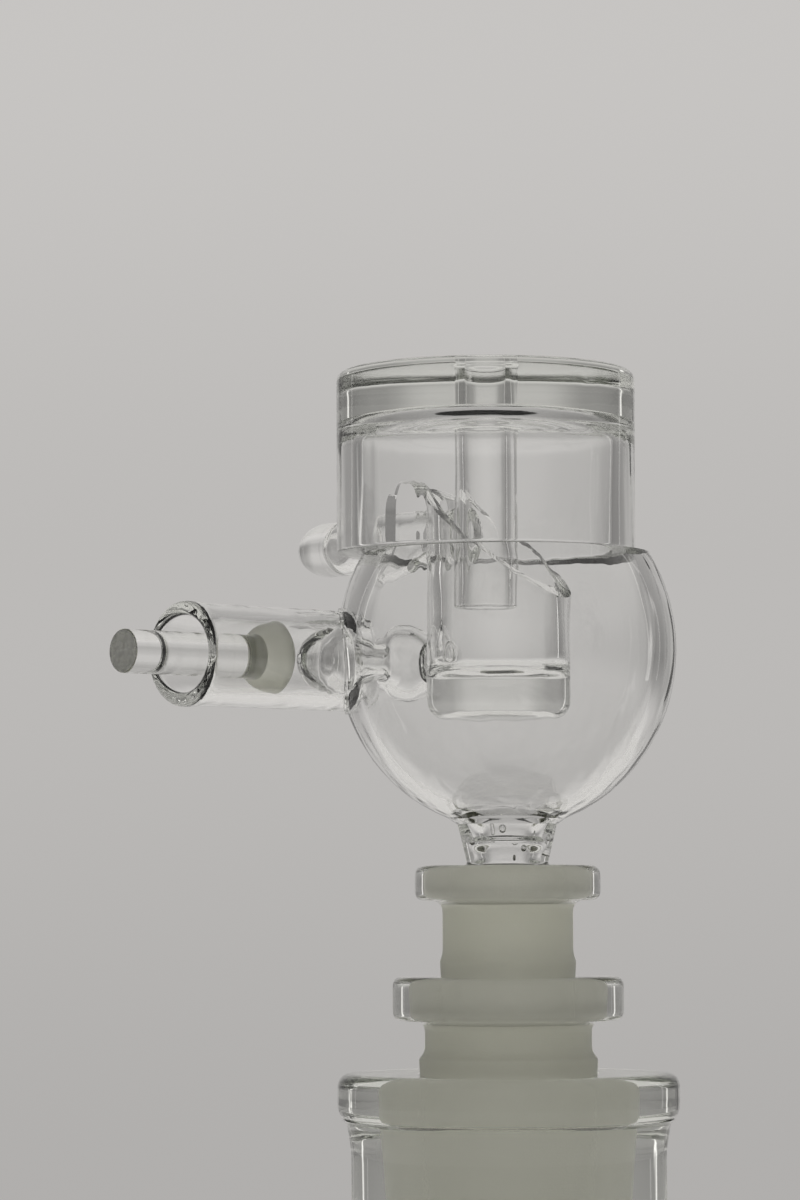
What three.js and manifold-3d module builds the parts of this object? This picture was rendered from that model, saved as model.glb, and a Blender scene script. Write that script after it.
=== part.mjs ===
// A clear glass bubble vessel with a loose lid, standing on two ground-joint reducing adapters in a thick
// ground socket. A slant-rimmed bucket hangs inside the bubble between a bridge and a closed arm, and a side
// tube over the bridge takes a ground plug. Millimetres, +Z up along the common joint axis, origin at the
// centre of the socket's foot. The side tube points along -X beside the joint axis, and the closed arm along +Y.
import * as THREE from 'three';
import { mergeVertices } from 'three/addons/utils/BufferGeometryUtils.js';
import Module from 'manifold-3d';

// Facets around a turned piece, and steps along a rounded corner
const FINE = 36;
const COARSE = 24;
const CORNER_STEPS = 2;

// Gaps: across a weld between two blanks, round a ground joint, and under the loose lid
const WELD = 0.3;
const RUNNING = 0.1;
const LID_GAP = 0.05;

// Every ground joint has the standard 1:10 taper, so its radius changes by a twentieth of its length
const TAPER = 1 / 20;

// Ground socket
const SOCKET_R = 17;
const SOCKET_TOP = 32;
const SOCKET_COLLAR_R = 18.45;
const SOCKET_COLLAR_H = 4.8;
const FOOT_H = 5;

// Reducing adapters: the cone's big end (its step), its tip, the shank above it, the collar and the bores
const LOWER = {
  stepZ: 33.5, stepR: 9.65, tipZ: 10.5, shankR: 9, collarZ: 37.6, topZ: 42.35, collarR: 12.5,
  seatEnd: 20.5, boreR: 5.8,
};
const UPPER = {
  stepZ: 44, stepR: 7.35, tipZ: 21.5, shankR: 7.05, collarZ: 50.5, topZ: 54.3, collarR: 10.05,
  seatEnd: 35.5, boreR: 3.7,
};

// Head: male joint, neck and bubble
const MALE = { stepZ: 54.3, stepR: 6.2, tipZ: 43, boreR: 4 };
const NECK = { bottomZ: 54.6, bottomR: 4.35, topZ: 58.8, topR: 5.5, boreR: 2.6 };
const BUBBLE = { z: 77.7, r: 18.45, halfH: 19.5, wall: 2.2, bottomZ: 59.1, rimZ: 88.1 };

// Bucket, a little off the joint axis, with its rim cut on a slope that is highest towards highTurn (degrees
// from -X towards +Y)
const BUCKET = {
  x: -0.55, y: 0.56, r: 7.85, wall: 1.6, bottomZ: 70.35, floorZ: 74.5, midZ: 89.1, slope: 38.3, highTurn: 71.5,
};

// Closed arm, along +Y at one height: a thick tube from the bucket, saddled in the bubble's rim and under a
// notch in the lid, to a long rounded end
const ARM = { z: 90.3, r: 3.1, boreR: 1.9, boreEnd: 27.2, domeStart: 28.2, domeLength: 4.5 };

// Bridge, side tube and plug, along -X on one line beside the joint axis; S values are distances along -X
const SIDE = { y: 12.6, z: 76.5 };
const SIDE_TUBE = { r: 5.45, boreR: 3.95, lipR: 5.62, endS: 35.5, weld: 0.5 };
const BRIDGE = { innerS: 3.65, innerR: 4.2, neckR: 3.1, outerS: 15, outerR: 3.6, weldR: 3.3, weldBoreR: 2.2 };
const PLUG = { r: 3.85, startS: 22.4, endS: 25.9, noseR: 2.9, rodR: 2.3, rodEndS: 43.4 };

// Loose lid, standing a little off the joint axis
const LID = {
  x: -1.53, y: 1.5, r: 16.25, wall: 2.4, plateZ: 103, topZ: 108, fillet: 2.5, holeR: 2.25, tubeR: 3.5,
  tubeEndZ: 82, notchR: 3.6, notchTopZ: 96.9,
};

const wasm = await Module();
wasm.setup();

const clear = { color: 0xd8dbd6, roughness: 0.05, metalness: 0, transparent: true, opacity: 0.35 };
const frosted = { color: 0xc2c4b6, roughness: 0.6, metalness: 0, transparent: true, opacity: 0.8 };
const vessel = new THREE.Group();

function add(name, geometry, look, x = 0, y = 0) {
  const mesh = new THREE.Mesh(geometry, new THREE.MeshStandardMaterial(look));
  mesh.name = name;
  mesh.position.set(x, y, 0);
  vessel.add(mesh);
}

const radians = THREE.MathUtils.degToRad;

// Points of an outline from corners [radius, height, rounding], where the rounding is how far from the
// corner its curve begins
function outline(corners) {
  const points = [];
  corners.forEach(([r, z, rounding = 0], i) => {
    const corner = new THREE.Vector2(r, z);
    if (!rounding) {
      points.push(corner);
      return;
    }
    const towards = (j) => {
      const next = corners[(j + corners.length) % corners.length];
      const way = new THREE.Vector2(next[0], next[1]).sub(corner).normalize();
      return corner.clone().addScaledVector(way, rounding);
    };
    const bend = new THREE.QuadraticBezierCurve(towards(i - 1), corner, towards(i + 1));
    points.push(...bend.getPoints(CORNER_STEPS));
  });
  return points;
}

// Points on an ellipse centred on the axis at height z, from one angle above the horizontal to another
function ellipse(z, r, halfHeight, from, to, steps) {
  const curve = new THREE.EllipseCurve(0, z, r, halfHeight, from, to, to < from);
  return curve.getPoints(steps);
}

// A solid of revolution round Z. A ring's outline doesn't touch the axis, so it closes on itself.
function turned(points, facets = COARSE) {
  const ring = points[0].x > 0;
  const profile = ring ? [...points, points[0].clone()] : points;
  return new THREE.LatheGeometry(profile, facets).rotateX(Math.PI / 2);
}

// The same round the side tube's axis, with heights in the outline measured out along -X
function turnedOnSide(points) {
  return turned(points).rotateY(-Math.PI / 2).translate(0, SIDE.y, SIDE.z);
}

// The same round the closed arm's axis, with heights in the outline measured out along +Y
function turnedOnArm(points) {
  return turned(points).rotateX(-Math.PI / 2).translate(0, 0, ARM.z);
}

function solid(geometry) {
  const bare = geometry.clone();
  bare.deleteAttribute('normal');
  bare.deleteAttribute('uv');
  const merged = mergeVertices(bare, 1e-4);
  const vertProperties = new Float32Array(merged.attributes.position.array);
  const triVerts = new Uint32Array(merged.index.array);
  return new wasm.Manifold(new wasm.Mesh({ numProp: 3, vertProperties, triVerts }));
}

function surface(body) {
  const { vertProperties, triVerts, numProp } = body.getMesh();
  const geometry = new THREE.BufferGeometry();
  geometry.setAttribute('position', new THREE.InterleavedBufferAttribute(
    new THREE.InterleavedBuffer(vertProperties, numProp), 3, 0));
  geometry.setIndex(new THREE.BufferAttribute(triVerts, 1));
  return geometry.toNonIndexed();
}

function cut(geometry, ...tools) {
  return surface(tools.reduce((body, tool) => body.subtract(solid(tool)), solid(geometry)));
}

// What two shapes have in common
function common(one, other) {
  return surface(solid(one).intersect(solid(other)));
}

// The bubble's outer skin, grown by an allowance, for trimming what is welded to it
function bubbleSkin(allowance) {
  const skin = new THREE.SphereGeometry(1, FINE, COARSE).rotateX(Math.PI / 2);
  skin.scale(BUBBLE.r + allowance, BUBBLE.r + allowance, BUBBLE.halfH + allowance);
  return skin.translate(0, 0, BUBBLE.z);
}

// Outline of a plain rod between two places on its axis
function rod(r, from, to) {
  return outline([[0, from], [r, from], [r, to], [0, to]]);
}

// Radius of an adapter's or the head's ground cone at a height, and of the seat that takes it
const coneR = (joint, z) => joint.stepR - (joint.stepZ - z) * TAPER;
const seatR = (joint, z) => coneR(joint, z) + RUNNING;

function addSocket() {
  const split = SOCKET_TOP - SOCKET_COLLAR_H;
  const seatEnd = LOWER.tipZ - 1;
  const footTop = FOOT_H - WELD;
  add('socket_foot', turned(outline([[0, 0], [SOCKET_R, 0, 1], [SOCKET_R, footTop], [0, footTop]]), FINE), clear);
  add('socket_body', turned(outline([
    [seatR(LOWER, seatEnd), FOOT_H], [SOCKET_R, FOOT_H], [SOCKET_R, split - 3], [SOCKET_R + 0.6, split - WELD],
    [seatR(LOWER, split - WELD), split - WELD], [seatR(LOWER, seatEnd), seatEnd],
  ]), FINE), clear);
  add('socket_collar', turned(outline([
    [seatR(LOWER, split), split], [SOCKET_COLLAR_R, split, 0.9], [SOCKET_COLLAR_R, SOCKET_TOP, 1.2],
    [seatR(LOWER, SOCKET_TOP), SOCKET_TOP],
  ]), FINE), clear);
}

// A male cone blank below its step, and a female blank above it with the shank and the rolled collar
function addAdapter(name, size, inner) {
  const { stepZ, stepR, tipZ, shankR, collarZ, topZ, collarR, seatEnd, boreR } = size;
  const weldZ = stepZ + WELD;
  const bore = (z) => seatR(inner, z);
  add(`${name}_cone`, turned(outline([
    [boreR, tipZ], [coneR(size, tipZ), tipZ, 0.5], [stepR, stepZ], [bore(stepZ), stepZ],
    [bore(seatEnd), seatEnd], [boreR, seatEnd - 1],
  ])), frosted);
  add(`${name}_collar`, turned(outline([
    [bore(weldZ), weldZ], [stepR, weldZ], [shankR, weldZ + 1.2], [shankR, collarZ - 0.8],
    [shankR + 0.8, collarZ], [collarR, collarZ, 0.6], [collarR, topZ, 0.8], [bore(topZ), topZ],
  ])), clear);
}

function addHead() {
  const { bottomZ, bottomR, topZ, topR, boreR } = NECK;
  const maleTopZ = bottomZ - WELD;
  add('male_joint', turned(outline([
    [MALE.boreR, MALE.tipZ], [coneR(MALE, MALE.tipZ), MALE.tipZ, 0.4],
    [coneR(MALE, maleTopZ - 0.8), maleTopZ - 0.8], [bottomR, maleTopZ], [boreR, maleTopZ],
    [MALE.boreR, maleTopZ - 2],
  ])), frosted);
  add('neck', turned(outline([
    [boreR, bottomZ], [bottomR, bottomZ], [topR, topZ], [boreR, topZ],
  ])), clear);
  addBubble();
  addBucket();
}

function addBubble() {
  const { z, r, halfH, wall, bottomZ, rimZ } = BUBBLE;
  const innerR = r - wall;
  const innerHalfH = halfH - wall;
  const skin = ellipse(z, r, halfH, Math.asin((bottomZ - z) / halfH), Math.asin((rimZ - z) / halfH), 14);
  const inside = ellipse(z, innerR, innerHalfH, Math.asin((rimZ - z) / innerHalfH),
    -Math.acos(NECK.boreR / innerR), 14);
  const shell = turned([new THREE.Vector2(NECK.boreR, bottomZ), ...skin, ...inside], FINE);
  const bridgeHole = turnedOnSide(rod(BRIDGE.neckR + WELD, 5, 20));
  const armSaddle = turnedOnArm(rod(ARM.r + WELD, 8, 24));
  add('bubble', cut(shell, bridgeHole, armSaddle), clear);
}

function addBucket() {
  const { x, y, r, wall, bottomZ, floorZ, midZ, slope, highTurn } = BUCKET;
  const blankTop = 97;
  const blank = turned(outline([
    [0, bottomZ], [r, bottomZ, 2.1], [r, blankTop], [r - wall, blankTop], [r - wall, floorZ, 1.5],
    [0, floorZ],
  ]));
  const waste = new THREE.BoxGeometry(60, 60, 30).translate(0, 0, 15);
  waste.rotateY(radians(slope)).rotateZ(radians(-highTurn)).translate(0, 0, midZ);
  add('bucket', cut(blank, waste), clear, x, y);
}

// The bucket's outside, grown by the weld gap, for trimming what is welded to it
function besideBucket() {
  return turned(rod(BUCKET.r + WELD, 60, 100)).translate(BUCKET.x, BUCKET.y, 0);
}

// A ball on the bridge's line, from one distance along it to another
function bulb(s, r, from, to) {
  const start = Math.asin(THREE.MathUtils.clamp((from - s) / r, -1, 1));
  const end = Math.asin(THREE.MathUtils.clamp((to - s) / r, -1, 1));
  const belly = ellipse(s, r, r, start, end, 10);
  const ends = [new THREE.Vector2(0, belly[0].y), new THREE.Vector2(0, belly.at(-1).y)];
  return turnedOnSide([ends[0], ...belly, ends[1]]);
}

// Glass bridge from the bucket's side: a bulb inside the bubble, a neck through its wall, a bulb outside
function addBridge() {
  const { innerS, innerR, neckR, outerS, outerR, weldR, weldBoreR } = BRIDGE;
  const neckStart = innerS + Math.sqrt(innerR ** 2 - neckR ** 2);
  const insideWall = bubbleSkin(-BUBBLE.wall - WELD);
  add('bridge_inner_bulb', common(bulb(innerS, innerR, innerS - innerR, neckStart), insideWall), clear);
  add('bridge_neck', common(turnedOnSide(rod(neckR, neckStart + WELD, 20)), bubbleSkin(0)), clear);
  const tip = ellipse(outerS, outerR, outerR, 0, Math.PI / 2, 6);
  tip.at(-1).x = 0;
  const root = [new THREE.Vector2(0, 7), new THREE.Vector2(outerR, 7)];
  add('bridge_outer_bulb', cut(turnedOnSide([...root, ...tip]), bubbleSkin(WELD)), clear);

  const towardsBulb = Math.atan2(SIDE.y - BUCKET.y, -innerS - BUCKET.x);
  const ring = turned(outline([[weldBoreR, 6], [weldR, 6], [weldR, 12], [weldBoreR, 12]]));
  ring.rotateY(Math.PI / 2).rotateZ(towardsBulb).translate(BUCKET.x, BUCKET.y, SIDE.z);
  const aroundBulb = bulb(innerS, innerR + WELD, innerS - innerR - WELD, innerS + innerR + WELD);
  add('bridge_weld', cut(ring, besideBucket(), aroundBulb), clear);
}

function addSideTube() {
  const { r, boreR, lipR, endS, weld } = SIDE_TUBE;
  const weldR = r + WELD;
  add('side_tube', cut(turnedOnSide(outline([
    [boreR, 3], [r, 3], [r, endS - 3], [lipR, endS, 0.7], [boreR + 0.2, endS, 0.5], [boreR, endS - 2],
  ])), bubbleSkin(WELD)), clear);
  const sleeve = turnedOnSide(outline([[weldR, 3.5], [weldR + weld, 3.5], [weldR + weld, 24], [weldR, 24]]));
  add('side_tube_weld', cut(common(sleeve, bubbleSkin(WELD + weld)), bubbleSkin(WELD)), clear);
}

function addClosedArm() {
  const { r, boreR, boreEnd, domeStart, domeLength } = ARM;
  const weldR = r + WELD;
  const dome = ellipse(domeStart, r, domeLength, 0, Math.PI / 2, 5);
  dome.at(-1).x = 0;
  add('closed_arm', cut(turnedOnArm(outline([
    [boreR, 4], [r, 4], [r, domeStart - WELD], [0, domeStart - WELD], [0, boreEnd], [boreR, boreEnd, 1.2],
  ])), besideBucket()), clear);
  add('closed_arm_end', turnedOnArm([new THREE.Vector2(0, domeStart), ...dome]), clear);
}

function addPlug() {
  const { r, startS, endS, noseR, rodR, rodEndS } = PLUG;
  add('ground_plug', turnedOnSide(outline([
    [0, startS], [noseR, startS, 0.6], [r, startS + 1.5], [r, endS - 1.2], [rodR, endS], [0, endS],
  ])), frosted);
  add('plug_rod', turnedOnSide(rod(rodR, endS + WELD, rodEndS)), clear);
}

function addLid() {
  const { x, y, r, wall, plateZ, topZ, fillet, holeR, tubeR, tubeEndZ, notchR, notchTopZ } = LID;
  const rimZ = BUBBLE.rimZ + LID_GAP;
  const weldZ = plateZ - WELD;
  const innerR = r - wall;
  const ceiling = new THREE.EllipseCurve(innerR - fillet, weldZ - fillet, fillet, fillet, Math.PI / 2, 0, true);
  const wallPoints = [
    ...outline([[innerR, rimZ, 0.3], [r, rimZ, 0.3], [r, weldZ]]), ...ceiling.getPoints(3),
  ];
  add('lid_plate', turned(outline([[holeR, plateZ], [r, plateZ], [r, topZ, 1.6], [holeR, topZ, 0.4]]), FINE),
    clear, x, y);
  const notchZ = notchTopZ - notchR;
  const notch = new THREE.Shape().moveTo(notchR, rimZ - 5).lineTo(notchR, notchZ)
    .absarc(0, notchZ, notchR, 0, Math.PI, false).lineTo(-notchR, rimZ - 5).closePath();
  const notchTool = new THREE.ExtrudeGeometry(notch, { depth: 20, bevelEnabled: false, curveSegments: 6 });
  notchTool.rotateX(Math.PI / 2).translate(0, 25, 0);
  const blank = turned(wallPoints, FINE).translate(x, y, 0);
  add('lid_wall', cut(blank, notchTool), clear);
  add('lid_downtube', turned(outline([
    [holeR, tubeEndZ], [tubeR, tubeEndZ], [tubeR, weldZ], [holeR, weldZ],
  ])), clear, x, y);
}

addSocket();
addAdapter('lower_adapter', LOWER, UPPER);
addAdapter('upper_adapter', UPPER, MALE);
addHead();
addBridge();
addSideTube();
addClosedArm();
addPlug();
addLid();

export default vessel;
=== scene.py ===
"""Looks of a clear glass bubble vessel with a loose lid on stacked ground joints, built round its CAD frame.

Lengths are millimetres until a mesh is made, and metres from there on. Each fused glass body is one closed
mesh, as the real one is, so that light bends only where there really is a surface.
"""

import math

import bmesh
import bpy
from mathutils import Matrix, Vector

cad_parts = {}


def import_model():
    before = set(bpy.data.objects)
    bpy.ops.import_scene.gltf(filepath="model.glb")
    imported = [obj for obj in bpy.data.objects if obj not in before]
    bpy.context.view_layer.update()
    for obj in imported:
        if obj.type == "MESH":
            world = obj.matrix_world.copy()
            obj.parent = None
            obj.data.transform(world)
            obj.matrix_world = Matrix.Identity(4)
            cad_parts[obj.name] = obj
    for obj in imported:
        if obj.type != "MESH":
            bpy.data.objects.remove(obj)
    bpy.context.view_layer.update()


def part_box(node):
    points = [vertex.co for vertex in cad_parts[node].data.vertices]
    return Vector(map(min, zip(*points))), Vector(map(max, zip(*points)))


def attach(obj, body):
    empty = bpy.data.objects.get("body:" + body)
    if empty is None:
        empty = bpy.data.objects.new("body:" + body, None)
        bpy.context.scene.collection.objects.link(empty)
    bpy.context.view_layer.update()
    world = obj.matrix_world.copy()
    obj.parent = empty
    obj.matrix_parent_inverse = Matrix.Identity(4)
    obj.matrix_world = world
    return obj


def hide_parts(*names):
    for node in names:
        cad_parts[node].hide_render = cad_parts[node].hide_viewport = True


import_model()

MM = 0.001
SEGMENTS = 160  # round a turned piece
RUN = 0.6  # longest straight step along an outline
TAPER = 1 / 20  # radius lost per length of a ground cone
SEAT_GAP = 0.1  # between a ground cone and its seat
GLASS_IOR = 1.47
GLASS_TINT = (0.55, 0.6, 0.48)  # colour that white light goes over a long way through
GLASS_DENSITY = 9  # the higher, the shorter that way
SHARP_EDGE = math.radians(32)  # edges that bend more than this shade as edges

CLEAR, FROSTED, SEAT_WITH_PAINTED_LIGHT, SATIN, ROUGH_CUT = 0, 1, 2, 3, 4  # material slots on every glass piece


def box_mm(*nodes):
    """Lowest and highest corners of CAD nodes together, in millimetres."""
    boxes = [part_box(node) for node in nodes]
    low = [min(b[0][i] for b in boxes) / MM for i in range(3)]
    high = [max(b[1][i] for b in boxes) / MM for i in range(3)]
    return Vector(low), Vector(high)


# ---------------------------------------------------------------- outlines


def outline(*corners, steps=7):
    """Points from corners (radius, height, rounding), the rounding being how far off its curve begins."""
    points = []
    for i, corner in enumerate(corners):
        here = Vector(corner[:2])
        rounding = corner[2] if len(corner) > 2 else 0
        if not rounding:
            points.append(here)
            continue
        before = Vector(corners[i - 1][:2])
        after = Vector(corners[(i + 1) % len(corners)][:2])
        start = here + (before - here).normalized() * rounding
        end = here + (after - here).normalized() * rounding
        for k in range(steps + 1):
            t = k / steps
            points.append(start * (1 - t) ** 2 + here * 2 * t * (1 - t) + end * t * t)
    return points


def ellipse(centre, across, along, start, end, steps=60):
    """Points on an ellipse whose centre is on the axis, from one angle above the horizontal to another."""
    points = []
    for k in range(steps + 1):
        angle = start + (end - start) * k / steps
        points.append(Vector((across * math.cos(angle), centre + along * math.sin(angle))))
    return points


def smooth_line(knots, steps=10):
    """A Catmull-Rom curve through knots (radius, height)."""
    line = [Vector(k) for k in knots]
    ends = [line[0] * 2 - line[1], *line, line[-1] * 2 - line[-2]]
    points = []
    for a, b, c, d in zip(ends, ends[1:], ends[2:], ends[3:]):
        for k in range(steps):
            t = k / steps
            points.append(0.5 * (2 * b + (c - a) * t + (2 * a - 5 * b + 4 * c - d) * t * t
                                 + (3 * b - a - 3 * c + d) * t ** 3))
    return points + [line[-1]]


def fine(points, closed):
    """The same outline with its long runs cut into short steps, so that shading bends only at corners."""
    result = []
    pairs = zip(points, points[1:] + points[:1] if closed else points[1:])
    for a, b in pairs:
        count = max(1, math.ceil((b - a).length / RUN))
        result += [a.lerp(b, k / count) for k in range(count)]
    return result if closed else [*result, points[-1]]


# ---------------------------------------------------------------- meshes


def mesh_object(name, bm):
    bmesh.ops.recalc_face_normals(bm, faces=bm.faces)
    mesh = bpy.data.meshes.new(name)
    bm.to_mesh(mesh)
    bm.free()
    piece = bpy.data.objects.new(name, mesh)
    bpy.context.scene.collection.objects.link(piece)
    return piece


def turned(name, points, place=None, segments=SEGMENTS):
    """A closed solid turned round Z. An outline that starts on the axis ends on it; any other is a ring."""
    on_axis = points[0].x < 1e-6
    line = fine(points, closed=not on_axis)
    bm = bmesh.new()
    columns = []
    poles = {}
    for k in range(segments):
        angle = 2 * math.pi * k / segments
        column = []
        for i, p in enumerate(line):
            if p.x < 1e-6:
                if i not in poles:
                    poles[i] = bm.verts.new((0, 0, p.y * MM))
                column.append(poles[i])
            else:
                spot = (p.x * math.cos(angle) * MM, p.x * math.sin(angle) * MM, p.y * MM)
                column.append(bm.verts.new(spot))
        columns.append(column)
    last = len(line) - 1 if on_axis else len(line)
    for k in range(segments):
        one, two = columns[k], columns[(k + 1) % segments]
        for i in range(last):
            j = (i + 1) % len(line)
            corners = list(dict.fromkeys([one[i], two[i], two[j], one[j]]))
            if len(corners) > 2:
                bm.faces.new(corners)
    if place:
        bmesh.ops.transform(bm, matrix=place, verts=bm.verts)
    return mesh_object(name, bm)


def combine(piece, others, operation):
    """Joins others to piece, or cuts them out of it, for good."""
    for other in others:
        step = piece.modifiers.new(operation.lower(), "BOOLEAN")
        step.operation = operation
        step.solver = "MANIFOLD"
        step.object = other
        graph = bpy.context.evaluated_depsgraph_get()
        made = bpy.data.meshes.new_from_object(piece.evaluated_get(graph))
        piece.modifiers.clear()
        old, piece.data = piece.data, made
        made.name = piece.name
        bpy.data.meshes.remove(old)
        bpy.data.objects.remove(other)
    return piece


def side_place():
    """Turns a piece made round Z to point along -X, on the side tube's own line."""
    return Matrix.Translation((0, SIDE_Y * MM, SIDE_Z * MM)) @ Matrix.Rotation(-math.pi / 2, 4, "Y")


def arm_place(height):
    """Turns a piece made round Z to point along +Y at a height."""
    return Matrix.Translation((0, 0, height * MM)) @ Matrix.Rotation(-math.pi / 2, 4, "X")


# ---------------------------------------------------------------- materials


def new_material(name):
    material = bpy.data.materials.new(name)
    material.use_nodes = True
    return material, material.node_tree, material.node_tree.nodes["Principled BSDF"]


def object_noise(tree, scale, detail, stretch=(1, 1, 1)):
    place = tree.nodes.new("ShaderNodeTexCoord")
    spread = tree.nodes.new("ShaderNodeMapping")
    spread.inputs["Scale"].default_value = stretch
    noise = tree.nodes.new("ShaderNodeTexNoise")
    noise.inputs["Scale"].default_value = scale
    noise.inputs["Detail"].default_value = detail
    tree.links.new(place.outputs["Object"], spread.inputs["Vector"])
    tree.links.new(spread.outputs["Vector"], noise.inputs["Vector"])
    return noise


def bump(tree, height, distance, strength, onto):
    node = tree.nodes.new("ShaderNodeBump")
    node.inputs["Distance"].default_value = distance
    node.inputs["Strength"].default_value = strength
    tree.links.new(height, node.inputs["Height"])
    tree.links.new(node.outputs["Normal"], onto)


def tinted_depth(tree, colour, density):
    """Glass takes light away along its path, so thick pieces look darker and greener than thin ones."""
    volume = tree.nodes.new("ShaderNodeVolumeAbsorption")
    volume.inputs["Color"].default_value = (*colour, 1)
    volume.inputs["Density"].default_value = density
    tree.links.new(volume.outputs["Volume"], tree.nodes["Material Output"].inputs["Volume"])


def sum_of(tree, *heights):
    total = heights[0]
    for height in heights[1:]:
        node = tree.nodes.new("ShaderNodeMath")
        node.operation = "ADD"
        tree.links.new(total, node.inputs[0])
        tree.links.new(height, node.inputs[1])
        total = node.outputs["Value"]
    return total


def glass(name, roughness, transmission=1, tone=(1, 1, 1)):
    material, tree, shader = new_material(name)
    shader.inputs["Base Color"].default_value = (*tone, 1)
    shader.inputs["Roughness"].default_value = roughness
    shader.inputs["IOR"].default_value = GLASS_IOR
    shader.inputs["Transmission Weight"].default_value = transmission
    tinted_depth(tree, GLASS_TINT, GLASS_DENSITY)
    return material, tree, shader


def clear_glass():
    """Fire-polished glass: smooth, with the faint slow ripple and the drawn-out cords of blown tubing."""
    material, tree, shader = glass("clear_glass", 0)
    ripple = object_noise(tree, 90, 1, (1, 1, 0.35))
    cords = object_noise(tree, 240, 0, (1, 1, 0.12))
    cords.inputs["Distortion"].default_value = 1.5
    both = sum_of(tree, ripple.outputs["Fac"], cords.outputs["Fac"])
    bump(tree, both, 0.0003, 0.16, shader.inputs["Normal"])
    return material


def ground_glass(name, transmission, tone):
    """An even fine-grained matt skin with the rings that the grinding leaves."""
    material, tree, shader = glass(name, 0.45, transmission, tone)
    grain = object_noise(tree, 3500, 2)
    rings = object_noise(tree, 60, 2, (1, 1, 40))
    both = sum_of(tree, grain.outputs["Fac"], rings.outputs["Fac"])
    bump(tree, both, 0.00006, 0.35, shader.inputs["Normal"])
    return material


def satin_glass():
    """A face ground flat and then half polished, so what shows through it is soft."""
    material, tree, shader = glass("satin_glass", 0.16)
    lap = object_noise(tree, 700, 3)
    bump(tree, lap.outputs["Fac"], 0.00005, 0.3, shader.inputs["Normal"])
    return material


def rough_cut_glass():
    """A rod end left as it snapped and was rubbed flat: coarse chips that glint."""
    material, tree, shader = glass("rough_cut_glass", 0.28, 0.75, (0.95, 0.95, 0.93))
    chips = tree.nodes.new("ShaderNodeTexVoronoi")
    chips.inputs["Scale"].default_value = 1300
    place = tree.nodes.new("ShaderNodeTexCoord")
    tree.links.new(place.outputs["Object"], chips.inputs["Vector"])
    grain = object_noise(tree, 900, 3)
    both = sum_of(tree, chips.outputs["Distance"], grain.outputs["Fac"])
    bump(tree, both, 0.0005, 1, shader.inputs["Normal"])
    return material


def stage_material(name, colour, roughness):
    material, _, shader = new_material(name)
    shader.inputs["Base Color"].default_value = (*colour, 1)
    shader.inputs["Roughness"].default_value = roughness
    return material


# In the order of the material slots. The seats and the plug are ground glass, as the cones are, but their
# material is a lighter, less clear copy of the cones' frosted one: painted light, standing in for the lamp
# light that does not reach them inside the clear glass.
LOOKS = [
    clear_glass(),
    ground_glass("frosted_glass", 0.42, (0.92, 0.93, 0.81)),
    ground_glass("ground_seat_with_painted_light", 0.12, (0.97, 0.98, 0.86)),
    satin_glass(),
    rough_cut_glass(),
]


def finish_glass(piece, body, nodes, finish):
    """Sets each face's glass finish, smooth shading with crisp cut edges, and what the piece stands for."""
    mesh = piece.data
    mesh.materials.clear()
    for look in LOOKS:
        mesh.materials.append(look)
    for face in mesh.polygons:
        face.material_index = finish(face.center / MM)
        face.use_smooth = True
    mesh.set_sharp_from_angle(angle=SHARP_EDGE)
    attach(piece, body)
    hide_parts(*nodes)
    return piece


def from_axis(point, x=0, y=0):
    return math.hypot(point.x - x, point.y - y)


# ---------------------------------------------------------------- ground socket and adapters

socket_low, socket_high = box_mm("socket_body", "socket_collar")
lower_low, lower_high = box_mm("lower_adapter_cone", "lower_adapter_collar")
upper_low, upper_high = box_mm("upper_adapter_cone", "upper_adapter_collar")
lower_step = box_mm("lower_adapter_cone")[1]
upper_step = box_mm("upper_adapter_cone")[1]
male_low = box_mm("male_joint")[0]

MALE_R = 6.2
MALE_TOP = 54.3


def cone_r(step, z):
    """Radius at a height of the ground cone whose big end is at step."""
    return step.x - (step.z - z) * TAPER


def seat_r(step, z):
    return cone_r(step, z) + SEAT_GAP


male_step = Vector((MALE_R, 0, MALE_TOP))


def socket():
    foot = 5
    collar_height = 4.8
    wall_r = 17
    top = socket_high.z
    under = top - collar_height
    seat_end = lower_low.z - 1
    points = outline(
        (0, 0), (wall_r, 0, 1.4), (wall_r, under - 3.4, 1.2), (wall_r + 0.5, under - 0.4, 0.5),
        (socket_high.x, under, 1.5), (socket_high.x, top, 1.7), (seat_r(lower_step, top), top, 0.25),
        (seat_r(lower_step, seat_end), seat_end, 0.6), (seat_r(lower_step, seat_end), foot, 2), (0, foot),
    )
    piece = turned("ground_socket", points)

    def finish(p):
        in_seat = from_axis(p) < seat_r(lower_step, p.z) + 0.05 and seat_end < p.z < top - 0.2
        return SEAT_WITH_PAINTED_LIGHT if in_seat else CLEAR

    return finish_glass(piece, "socket", ["socket_foot", "socket_body", "socket_collar"], finish)


def adapter(name, step, low, high, shank_r, collar_z, seat_end, bore_r, inner):
    top = high.z
    points = outline(
        (bore_r, low.z, 0.3), (cone_r(step, low.z), low.z, 0.7), (step.x, step.z, 0.25),
        (shank_r, step.z + 0.7, 0.7), (shank_r, collar_z, 1.3), (high.x, collar_z, 1.1), (high.x, top, 1.2),
        (seat_r(inner, top), top, 0.25), (seat_r(inner, seat_end), seat_end, 0.5),
        (bore_r, seat_end - 1, 0.6),
    )
    piece = turned(name, points)

    def finish(p):
        outside = p.z < collar_z - 0.5 and from_axis(p) > min(shank_r, cone_r(step, p.z)) - 0.2
        inside = seat_end < p.z < top - 0.2 and from_axis(p) < seat_r(inner, p.z) + 0.05
        return FROSTED if outside else SEAT_WITH_PAINTED_LIGHT if inside else CLEAR

    return finish_glass(piece, name, [name + "_cone", name + "_collar"], finish)


# ---------------------------------------------------------------- head

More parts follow.
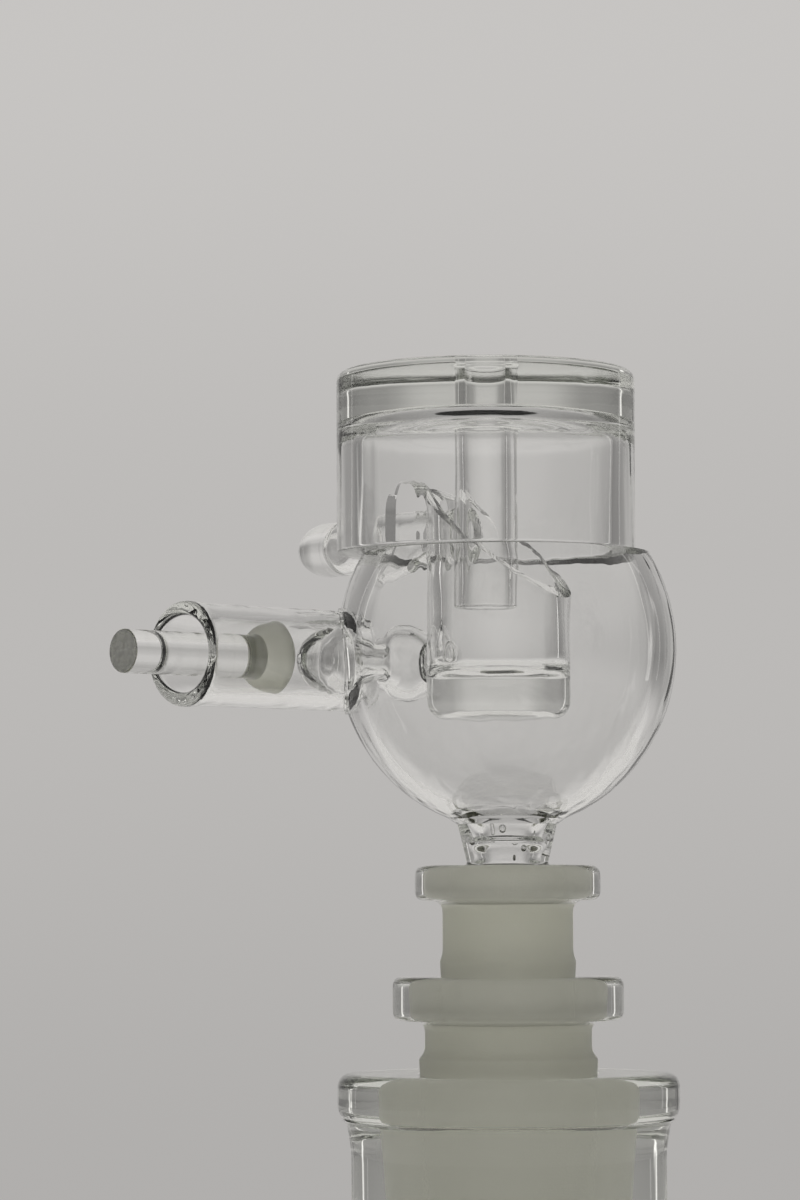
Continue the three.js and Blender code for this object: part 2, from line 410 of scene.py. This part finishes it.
RIM_Z = 88.1
BUBBLE_Z = 77.7
BUBBLE_R = 18.45
BUBBLE_H = 19.5
WALL = 2.2  # at the bubble's widest; it is a little thinner at the bottom
NECK_BORE = 2.6
MALE_BORE = 4
NECK_R = 4.35  # where the neck leaves the collar
SIDE_Y, SIDE_Z = 12.6, 76.5
TUBE_R, TUBE_BORE = 5.45, 3.95
ARM_Z = 90.3
ARM_R = 3.1


def bubble_skin(name, allowance):
    """The bubble's outer skin as a whole egg, grown or shrunk by an allowance, for trimming."""
    skin = ellipse(BUBBLE_Z, BUBBLE_R + allowance, BUBBLE_H + allowance, -math.pi / 2, math.pi / 2, 90)
    skin[0].x = skin[-1].x = 0
    return turned(name, skin)


def vessel():
    """Male joint, neck and bubble, from the joint's tip up the outside and down the inside."""
    tip = male_low.z
    skin_start = 59.45
    flare_r, flare_z = 5.45, 58.95
    outer_start = math.asin((skin_start - BUBBLE_Z) / BUBBLE_H)
    outer_end = math.asin((RIM_Z - BUBBLE_Z) / BUBBLE_H)
    inner_z, inner_r, inner_h = BUBBLE_Z + 0.15, BUBBLE_R - WALL, BUBBLE_H - 1.55
    inner_start = math.asin((RIM_Z - inner_z) / inner_h)
    inner_end = -math.acos((NECK_BORE + 2) / inner_r)
    inside = ellipse(inner_z, inner_r, inner_h, inner_start, inner_end, 90)
    funnel = inside[-1]
    points = [
        *outline((MALE_BORE, tip, 0.3), (cone_r(male_step, tip), tip, 0.5),
                 (cone_r(male_step, MALE_TOP - 0.9), MALE_TOP - 0.9, 0.3), (NECK_R, MALE_TOP + 0.1, 0.4),
                 (flare_r, flare_z, 0.3))[:-1],
        *ellipse(BUBBLE_Z, BUBBLE_R, BUBBLE_H, outer_start, outer_end, 90),
        *inside[:-1],
        *smooth_line([funnel, (NECK_BORE + 0.7, funnel.y - 1.1), (NECK_BORE, funnel.y - 2.8),
                      (NECK_BORE + 0.35, 56.9), (NECK_BORE - 0.1, 55.6), (NECK_BORE + 0.3, 54),
                      (MALE_BORE, 51.8)], 8),
    ]
    return turned("bubble_head", points, segments=192)


def seed(number, angle, distance, height, size):
    """A small air bubble left in the neck's glass, drawn out along it."""
    points = ellipse(0, size, size * 1.25, -math.pi / 2, math.pi / 2, 14)
    points[0].x = points[-1].x = 0
    spot = (distance * math.cos(angle) * MM, distance * math.sin(angle) * MM, height * MM)
    return turned(f"seed_{number}", points, Matrix.Translation(spot), 28)


def seeds():
    """Seven seeds spread round the neck's wall."""
    golden = math.radians(137.5)
    return [seed(k, golden * k - 1.9, 3.75 + 0.12 * (k % 3), 56.2 + 0.42 * k, 0.3 + 0.09 * (k * 2 % 3))
            for k in range(7)]


def inner_cup():
    low, high = box_mm("bucket")
    centre = (low + high) / 2
    r = high.x - centre.x
    wall = 1.6
    floor = 74.5
    blank_top = high.z + 3
    place = Matrix.Translation((centre.x * MM, centre.y * MM, 0))
    blank = turned("cup_blank", outline(
        (0, low.z), (r, low.z, 2.2), (r, blank_top), (r - wall, blank_top), (r - wall, floor, 2.4),
        (0, floor - 0.15)), place)
    slope, high_turn, middle = math.radians(38.3), math.radians(71.5), 89.1
    bm = bmesh.new()
    bmesh.ops.create_cube(bm, size=60 * MM)
    cut_place = (place @ Matrix.Translation((0, 0, middle * MM)) @ Matrix.Rotation(-high_turn, 4, "Z")
                 @ Matrix.Rotation(slope, 4, "Y") @ Matrix.Translation((0, 0, 30 * MM)))
    bmesh.ops.transform(bm, matrix=cut_place, verts=bm.verts)
    return combine(blank, [mesh_object("cup_waste", bm)], "DIFFERENCE")


BALL_S, BALL_R = 3.65, 4.2
DOME_S, DOME_R = 15, 3.6


def bridge():
    """One drawn-out piece of glass: a ball beside the cup, a neck through the bubble's wall, a domed end."""
    ball = ellipse(BALL_S, BALL_R, BALL_R, -math.pi / 2, math.radians(60), 40)
    ball[0].x = 0
    neck = smooth_line([ball[-1], (1.95, 7.7), (2.05, 8.8), (2.6, 10.6), (3.2, 12.6), (3.55, 14.0),
                        (DOME_R, DOME_S)], 8)
    end = ellipse(DOME_S, DOME_R, DOME_R, 0, math.pi / 2, 20)[1:]
    end[-1].x = 0
    return turned("bridge", [*ball[:-1], *neck, *end], side_place(), 96)


def bridge_hollow():
    """The air inside the bridge: a ball, a narrow bore through the neck, and a wider stretch in the dome."""
    ball = ellipse(BALL_S, BALL_R - 1.05, BALL_R - 1.05, -math.pi / 2, math.radians(66), 30)
    ball[0].x = 0
    bore = smooth_line([ball[-1], (0.9, 7.4), (0.85, 9), (1.15, 10.6), (1.8, 12.2), (2.2, 13.2), (2.0, 14.2),
                        (1.3, 14.9), (0.5, 15.15)], 8)
    return turned("bridge_hollow", [*ball[:-1], *bore, Vector((0, 15.2))], side_place(), 96)


def ball_weld():
    """The short waisted weld from the cup's side to the ball."""
    low, high = box_mm("bucket")
    centre = (low + high) / 2
    towards_ball = math.atan2(SIDE_Y - centre.y, -BALL_S - centre.x)
    place = (Matrix.Translation((centre.x * MM, centre.y * MM, SIDE_Z * MM))
             @ Matrix.Rotation(towards_ball, 4, "Z") @ Matrix.Rotation(math.pi / 2, 4, "Y"))
    waist = smooth_line([(3.3, 7.1), (2.5, 7.7), (2.1, 8.05), (2.2, 8.4), (2.4, 8.7)], 6)
    return turned("ball_weld", [Vector((0, 7.1)), *waist, Vector((0, 8.7))], place, 72)


def side_tube():
    end = -box_mm("side_tube")[0].x
    points = outline(
        (TUBE_BORE, 3), (TUBE_R, 3), (TUBE_R, end - 3.2, 2), (TUBE_R + 0.17, end, 0.65),
        (TUBE_BORE + 0.15, end, 0.6), (TUBE_BORE, end - 2.2, 1),
    )
    tube = turned("side_tube", points, side_place(), 128)
    bead = turned("side_bead", outline((TUBE_R - 0.4, 3.5), (TUBE_R + 0.3, 3.5), (TUBE_R + 0.3, 22),
                                       (TUBE_R - 0.4, 22)), side_place(), 128)
    combine(bead, [bubble_skin("bead_limit", 0.3)], "INTERSECT")
    combine(tube, [bead], "UNION")
    return combine(tube, [bubble_skin("bubble_middle", -WALL / 2)], "DIFFERENCE")


def closed_arm():
    start, bore, bore_start, bore_end = 6.9, 1.9, 9.2, 27.2
    dome_start = box_mm("closed_arm_end")[0].y
    dome = box_mm("closed_arm_end")[1].y - dome_start
    shoulder = ellipse(dome_start, ARM_R, dome, 0, math.pi / 2, 24)
    shoulder[-1].x = 0
    waist = smooth_line([(ARM_R, 8), (ARM_R, dome_start - 3), (ARM_R - 0.12, dome_start - 1.2),
                         (ARM_R, dome_start)], 6)
    arm = turned("closed_arm", [Vector((0, start)), Vector((ARM_R, start)), *waist, *shoulder[1:]],
                 arm_place(ARM_Z), 96)
    hollow = turned("arm_bore", outline((0, bore_start), (bore, bore_start, 0.8), (bore, bore_end, 1.2),
                                        (0, bore_end + 0.9)), arm_place(ARM_Z), 96)
    return arm, hollow


def head():
    arm, arm_bore = closed_arm()
    piece = combine(vessel(), [inner_cup(), bridge(), ball_weld(), side_tube(), arm], "UNION")
    combine(piece, [arm_bore, bridge_hollow(), *seeds()], "DIFFERENCE")

    def finish(p):
        on_joint = p.z < MALE_TOP - 0.6 and from_axis(p) > cone_r(male_step, p.z) - 0.2
        on_rim = abs(p.z - RIM_Z) < 0.01
        return FROSTED if on_joint else SATIN if on_rim else CLEAR

    nodes = ["male_joint", "neck", "bubble", "bucket", "bridge_weld", "bridge_inner_bulb", "bridge_neck",
             "bridge_outer_bulb", "side_tube", "side_tube_weld", "closed_arm", "closed_arm_end"]
    return finish_glass(piece, "head", nodes, finish)


# ---------------------------------------------------------------- plug and lid


def plug():
    low, high = box_mm("ground_plug", "plug_rod")
    end = -low.x
    rod, r, start, shoulder = 2.3, 3.85, -high.x, 25.9
    points = outline(
        (0, start), (2.9, start, 0.9), (r, start + 1.3, 0.5), (r, shoulder - 1.1, 0.6), (rod, shoulder, 0.8),
        (rod, end, 0.2), (0, end))
    piece = turned("plug", points, side_place(), 96)

    def from_line(p):
        return math.hypot(p.y - SIDE_Y, p.z - SIDE_Z)

    def finish(p):
        if p.x < -end + 0.02:
            return ROUGH_CUT
        return SEAT_WITH_PAINTED_LIGHT if p.x > -shoulder - 0.2 and from_line(p) > rod - 0.1 or p.x > -shoulder + 0.7 else CLEAR

    return finish_glass(piece, "plug", ["ground_plug", "plug_rod"], finish)


def notch_tool(notch_r, notch_top):
    """A long arch along +Y that cuts the notch over the closed arm."""
    spring = notch_top - notch_r
    arch = [(-notch_r, 80), (notch_r, 80)]
    for angle in (math.pi * k / 24 for k in range(25)):
        arch.append((notch_r * math.cos(angle), spring + notch_r * math.sin(angle)))
    bm = bmesh.new()
    face = bm.faces.new([bm.verts.new((x * MM, 8 * MM, z * MM)) for x, z in arch])
    made = bmesh.ops.extrude_face_region(bm, geom=[face])["geom"]
    bmesh.ops.translate(bm, vec=(0, 16 * MM, 0), verts=[v for v in made if isinstance(v, bmesh.types.BMVert)])
    return mesh_object("notch", bm)


def lid():
    low, high = box_mm("lid_plate", "lid_wall", "lid_downtube")
    plate_low, plate_high = box_mm("lid_plate")
    centre = (plate_low + plate_high) / 2
    rim = box_mm("lid_wall")[0].z
    r = plate_high.x - centre.x
    inner, hole, tube = r - 2.4, 2.25, 3.5
    ceiling = plate_low.z
    wave, waves_from, waves_to = 0.32, tube + 1.2, 10.6
    ripples = []
    for k in range(33):
        t = k / 32
        swell = math.sin(math.pi * t) * math.cos(2 * math.pi * 1.75 * t)
        ripples.append(Vector((waves_from + (waves_to - waves_from) * t, ceiling + wave * swell)))
    shoulder = [Vector((waves_to + (inner - waves_to) * math.sin(a), ceiling - 3.4 * (1 - math.cos(a))))
                for a in (math.pi / 2 * k / 16 for k in range(1, 17))]
    points = [
        *outline((hole, low.z, 0.35), (tube, low.z, 0.35), (tube, ceiling, 1.0), (waves_from, ceiling))[:-1],
        *ripples, *shoulder,
        *outline((inner, rim, 0.3), (r, rim, 0.35), (r, high.z, 1.2), (hole, high.z, 0.4),
                 (hole, low.z))[:-1],
    ]
    place = Matrix.Translation((centre.x * MM, centre.y * MM, 0))
    piece = turned("lid", points, place, 192)
    notch_r, notch_top = 3.6, 96.9
    combine(piece, [notch_tool(notch_r, notch_top)], "DIFFERENCE")

    def finish(p):
        return SATIN if p.z > high.z - 0.01 or abs(p.z - rim) < 0.01 else CLEAR

    return finish_glass(piece, "lid", ["lid_plate", "lid_wall", "lid_downtube"], finish)


socket()
adapter("lower_adapter", lower_step, lower_low, lower_high, 9, 37.6, 20.5, 5.8, upper_step)
adapter("upper_adapter", upper_step, upper_low, upper_high, 7.05, 50.5, 35.5, 3.7, male_step)
head()
plug()
lid()

# ---------------------------------------------------------------- camera, stage and light

VIEW_AZIMUTH = math.radians(-44.5)
CAMERA_DISTANCE = 462
CAMERA_HEIGHT = 50.5
PITCH = math.radians(4.04)
YAW = math.radians(1.43)
ROLL = math.radians(-0.2)
LENS = 127.8  # focal length over a sensor 36 wide
# How bright it is all round, by the share of a half turn away from the backdrop
BACKDROP = ((0, 1), (0.07, 1), (0.17, 0.58), (0.3, 0.42), (0.6, 0.38), (0.8, 1), (1, 1.3))
STRIP_TURN = math.radians(125)  # a narrow light stands on each side, this far round from the camera
STRIP_POWER = 7000  # the higher, the narrower
STRIP_LIGHT = 2.2
# Brightness by the sine of the height, and how much warmer than grey it is
HEIGHTS = ((-1, 0.34), (-0.3, 0.34), (-0.15, 0.27), (-0.07, 0.2185), (0.07, 0.251), (0.205, 0.2845),
           (0.32, 0.28), (0.55, 0.21), (1, 0.19))
WARMTH = (1, 0.976, 0.953)
WORLD_STRENGTH = 2
FLOOR_R = 0.24
FLOOR_COLOUR = (0.84, 0.83, 0.81)


def camera():
    data = bpy.data.cameras.new("camera")
    data.sensor_width = 36
    data.lens = LENS
    data.clip_start, data.clip_end = 0.01, 20
    obj = bpy.data.objects.new("camera", data)
    bpy.context.scene.collection.objects.link(obj)
    back = Vector((math.sin(VIEW_AZIMUTH), -math.cos(VIEW_AZIMUTH), 0))
    obj.location = back * CAMERA_DISTANCE * MM + Vector((0, 0, CAMERA_HEIGHT * MM))
    heading = Matrix.Rotation(VIEW_AZIMUTH + YAW, 3, "Z")
    tilt = Matrix.Rotation(math.pi / 2 + PITCH, 3, "X")
    roll = Matrix.Rotation(ROLL, 3, "Z")
    obj.rotation_euler = (heading @ tilt @ roll).to_euler()
    bpy.context.scene.camera = obj


def floor():
    """A pale round table top, just below the foot."""
    bm = bmesh.new()
    bmesh.ops.create_circle(bm, cap_ends=True, segments=96, radius=FLOOR_R)
    piece = mesh_object("floor", bm)
    piece.location.z = -0.0002
    piece.data.materials.append(stage_material("pale_floor", FLOOR_COLOUR, 0.6))


def top_light():
    """A wide soft light overhead that only matt surfaces show, so it leaves no patch in the clear glass."""
    data = bpy.data.lights.new("top_light", "AREA")
    data.shape = "DISK"
    data.size = 1.2
    data.energy = 10
    lamp = bpy.data.objects.new("top_light", data)
    lamp.location.z = 1.4
    lamp.visible_glossy = lamp.visible_transmission = lamp.visible_camera = False
    bpy.context.scene.collection.objects.link(lamp)


def set_stops(ramp, stops):
    elements = ramp.color_ramp.elements
    while len(elements) < len(stops):
        elements.new(0.5)
    for element, (position, colour) in zip(elements, stops):
        element.position = position
        element.color = colour


def world():
    """Soft light all round, darker overhead, brighter below, with a narrow strip light on each side.

    It is darker to both sides as well, though not below the floor.
    """
    space = bpy.data.worlds.new("studio")
    bpy.context.scene.world = space
    space.use_nodes = True
    tree = space.node_tree
    background = tree.nodes["Background"]
    place = tree.nodes.new("ShaderNodeTexCoord")
    split = tree.nodes.new("ShaderNodeSeparateXYZ")
    tree.links.new(place.outputs["Generated"], split.inputs["Vector"])

    def maths(operation, a, b=None):
        node = tree.nodes.new("ShaderNodeMath")
        node.operation = operation
        for socket_in, value in zip(node.inputs, (a, b)):
            if value is None:
                continue
            if isinstance(value, (int, float)):
                socket_in.default_value = value
            else:
                tree.links.new(value, socket_in)
        return node.outputs["Value"]

    up = split.outputs["Z"]
    ramp = tree.nodes.new("ShaderNodeValToRGB")
    ramp.color_ramp.interpolation = "EASE"
    set_stops(ramp, [((z + 1) / 2, (*(light * share for share in WARMTH), 1)) for z, light in HEIGHTS])
    tree.links.new(maths("ADD", maths("MULTIPLY", up, 0.5), 0.5), ramp.inputs["Fac"])

    turn = maths("ARCTAN2", split.outputs["Y"], split.outputs["X"])
    away = math.pi / 2 + VIEW_AZIMUTH
    level = maths("SUBTRACT", 1, maths("MULTIPLY", up, up))
    aside = maths("DIVIDE", maths("ARCCOSINE", maths("COSINE", maths("SUBTRACT", turn, away))), math.pi)
    sides = tree.nodes.new("ShaderNodeValToRGB")
    sides.color_ramp.interpolation = "EASE"
    set_stops(sides, [(share, (light, light, light, 1)) for share, light in BACKDROP])
    tree.links.new(aside, sides.inputs["Fac"])
    over_floor = maths("MINIMUM", maths("MAXIMUM", maths("MULTIPLY", maths("ADD", up, 0.2), 5), 0), 1)
    reach = maths("MULTIPLY", level, over_floor)
    dark = maths("MULTIPLY", maths("SUBTRACT", 1, sides.outputs["Color"]), reach)
    strength = maths("SUBTRACT", 1, dark)
    for side in (-1, 1):
        towards = maths("COSINE", maths("SUBTRACT", turn, away + side * (math.pi - STRIP_TURN)))
        strip = maths("POWER", maths("MAXIMUM", towards, 0), STRIP_POWER)
        above = maths("GREATER_THAN", up, -0.12)
        below = maths("LESS_THAN", up, 0.5)
        lit = maths("MULTIPLY", maths("MULTIPLY", above, below), STRIP_LIGHT)
        strength = maths("ADD", strength, maths("MULTIPLY", strip, lit))
    tree.links.new(ramp.outputs["Color"], background.inputs["Color"])
    tree.links.new(maths("MULTIPLY", strength, WORLD_STRENGTH), background.inputs["Strength"])


camera()
floor()
top_light()
world()

bpy.context.scene.view_settings.view_transform = "Standard"
bpy.context.scene.cycles.max_bounces = 32
bpy.context.scene.cycles.transmission_bounces = 32
bpy.context.scene.cycles.glossy_bounces = 12
